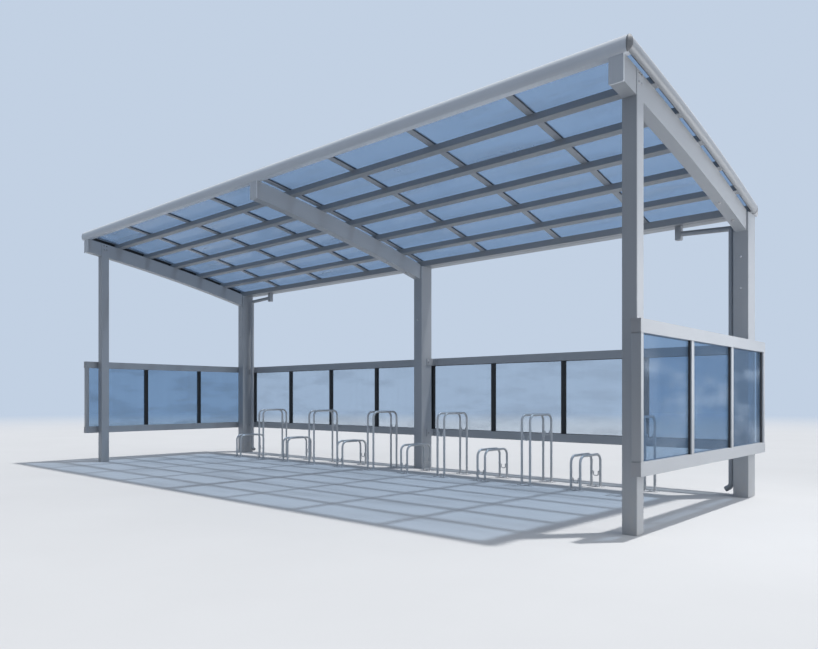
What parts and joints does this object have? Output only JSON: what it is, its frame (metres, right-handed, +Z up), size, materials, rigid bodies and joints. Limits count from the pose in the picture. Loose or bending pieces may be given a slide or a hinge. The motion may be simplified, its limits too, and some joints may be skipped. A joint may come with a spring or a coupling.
{
  "type": "bike shelter",
  "caption": "Open-fronted bicycle shelter with an arched lean-to roof of translucent sheets on an aluminium frame, glass side and rear screens, a gutter and floor racks.",
  "frame": {"origin": "on the ground, at the middle of the shelter's overall length and depth", "axes": "+X along the shelter, to the right as seen from the open front; +Y from the open front to the back; +Z up"},
  "size_m": [6.146, 2.16, 2.438],
  "materials": {
    "frame_aluminium": "satin anodised",
    "roof_sheet": "translucent tinted sheet",
    "tinted_glass": "blue tinted glass",
    "clear_glass": "clear glass with a faint blue tint",
    "cap_plastic": "grey moulded caps",
    "rack_steel": "galvanised tube"
  },
  "bodies": {
    "root": {"front_post_left": "frame_aluminium", "front_post_right": "frame_aluminium", "rear_post_left": "frame_aluminium", "rear_post_middle": "frame_aluminium", "rear_post_right": "frame_aluminium", "beam_left": "frame_aluminium", "beam_middle": "frame_aluminium", "beam_right": "frame_aluminium", "beam_end_caps": "frame_aluminium", "purlins": "frame_aluminium", "rear_rail": "frame_aluminium", "fascia": "frame_aluminium", "corner_caps": "cap_plastic", "side_frame_left": "frame_aluminium", "side_frame_right": "frame_aluminium", "frame_end_caps": "cap_plastic", "glazing_bars": "frame_aluminium", "roof_sheets_left": "roof_sheet", "roof_sheets_right": "roof_sheet", "gutter": "frame_aluminium", "gutter_end_caps": "cap_plastic", "downpipe_left": "frame_aluminium", "downpipe_right": "frame_aluminium", "side_screen_rails_left": "frame_aluminium", "side_screen_rails_right": "frame_aluminium", "side_screen_uprights_left": "frame_aluminium", "side_screen_uprights_right": "frame_aluminium", "side_screen_panes_left": "tinted_glass", "side_screen_panes_right": "tinted_glass", "rail_end_caps": "cap_plastic", "screen_spacers": "frame_aluminium", "rear_screen_rails_left": "frame_aluminium", "rear_screen_rails_right": "frame_aluminium", "rear_screen_uprights_left": "frame_aluminium", "rear_screen_uprights_right": "frame_aluminium", "rear_screen_panes_left": "clear_glass", "rear_screen_panes_right": "clear_glass", "screen_brackets": "frame_aluminium", "low_racks": "rack_steel", "high_racks": "rack_steel", "wheel_rests": "rack_steel", "rack_plates": "rack_steel"}
  },
  "joints": []
}
